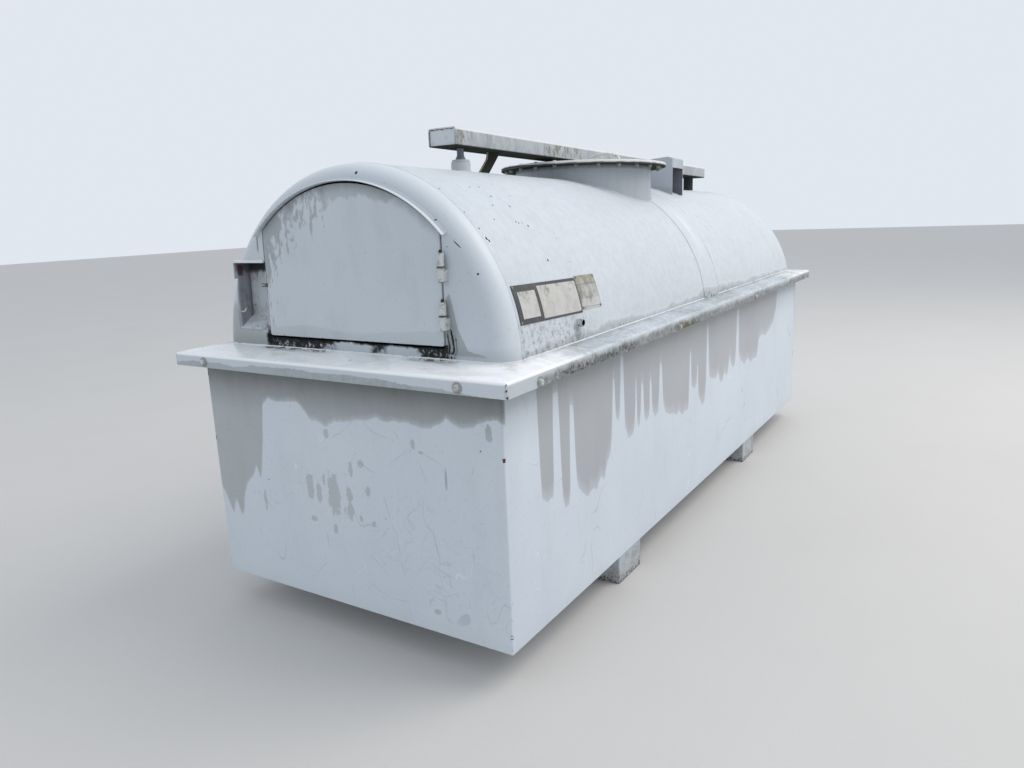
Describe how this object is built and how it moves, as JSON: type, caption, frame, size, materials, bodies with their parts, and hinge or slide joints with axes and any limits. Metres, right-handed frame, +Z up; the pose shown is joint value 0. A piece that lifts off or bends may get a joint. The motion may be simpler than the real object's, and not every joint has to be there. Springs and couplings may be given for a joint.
{
  "type": "bunded horizontal storage tank",
  "caption": "Lying cylindrical storage tank in a rectangular sheet-steel catch basin, with an arched cabinet door, a bolted manhole and a beam along its top.",
  "frame": {"origin": "centre of the ground rectangle under the rim cover, on the ground that the two bearers stand on", "axes": "+Z up, +Y along the tank from the door end to the rear, +X to the right for someone facing the door"},
  "size_m": [1.425, 3.694, 1.7366],
  "materials": {
    "pale_paint": "weathered semi-gloss, wet patches and fine scratches",
    "shaded_paint": "weathered semi-gloss with dirt",
    "bare_steel": "worn, light rust",
    "dark_paint": "matte black",
    "worn_plate": "sun-bleached plate, bare"
  },
  "bodies": {
    "root": {"basin_floor": "pale_paint", "basin_front_wall": "pale_paint", "basin_rear_wall": "pale_paint", "basin_left_wall": "pale_paint", "basin_right_wall": "pale_paint", "front_bearer": "shaded_paint", "rear_bearer": "shaded_paint", "rim_right": "pale_paint", "rim_left": "pale_paint", "rim_rear": "pale_paint", "rim_front": "pale_paint", "tank_barrel": "pale_paint", "cabinet_shell": "pale_paint", "barrel_band": "pale_paint", "cabinet_bulkhead": "shaded_paint", "front_head": "pale_paint", "rear_head": "pale_paint", "drip_moulding": "pale_paint", "nozzle_pocket": "shaded_paint", "pocket_hook": "bare_steel", "lower_hinge_frame_barrel": "shaded_paint", "upper_hinge_frame_barrel": "shaded_paint", "badge_plate": "dark_paint", "data_plate": "worn_plate", "drain_stub": "shaded_paint", "manhole_neck": "pale_paint", "manhole_flange": "pale_paint", "manhole_lid": "pale_paint", "lid_handle": "bare_steel", "beam": "pale_paint", "beam_front_cap": "shaded_paint", "beam_rear_cap": "shaded_paint", "post_socket": "shaded_paint", "beam_front_post": "pale_paint", "beam_rear_post": "dark_paint", "beam_brace": "pale_paint", "gauge_cowl": "pale_paint"},
    "door": {"door_panel": "pale_paint", "lower_hinge_door_barrel": "shaded_paint", "upper_hinge_door_barrel": "shaded_paint", "latch_tongue": "bare_steel"}
  },
  "joints": [
    {"name": "door_hinge", "type": "hinge", "parent": "root", "child": "door", "pos_m": [0.405, -1.70417, 1.17273], "axis": [0, 0.0262, 0.9997], "range_deg": [0, 110]}
  ]
}
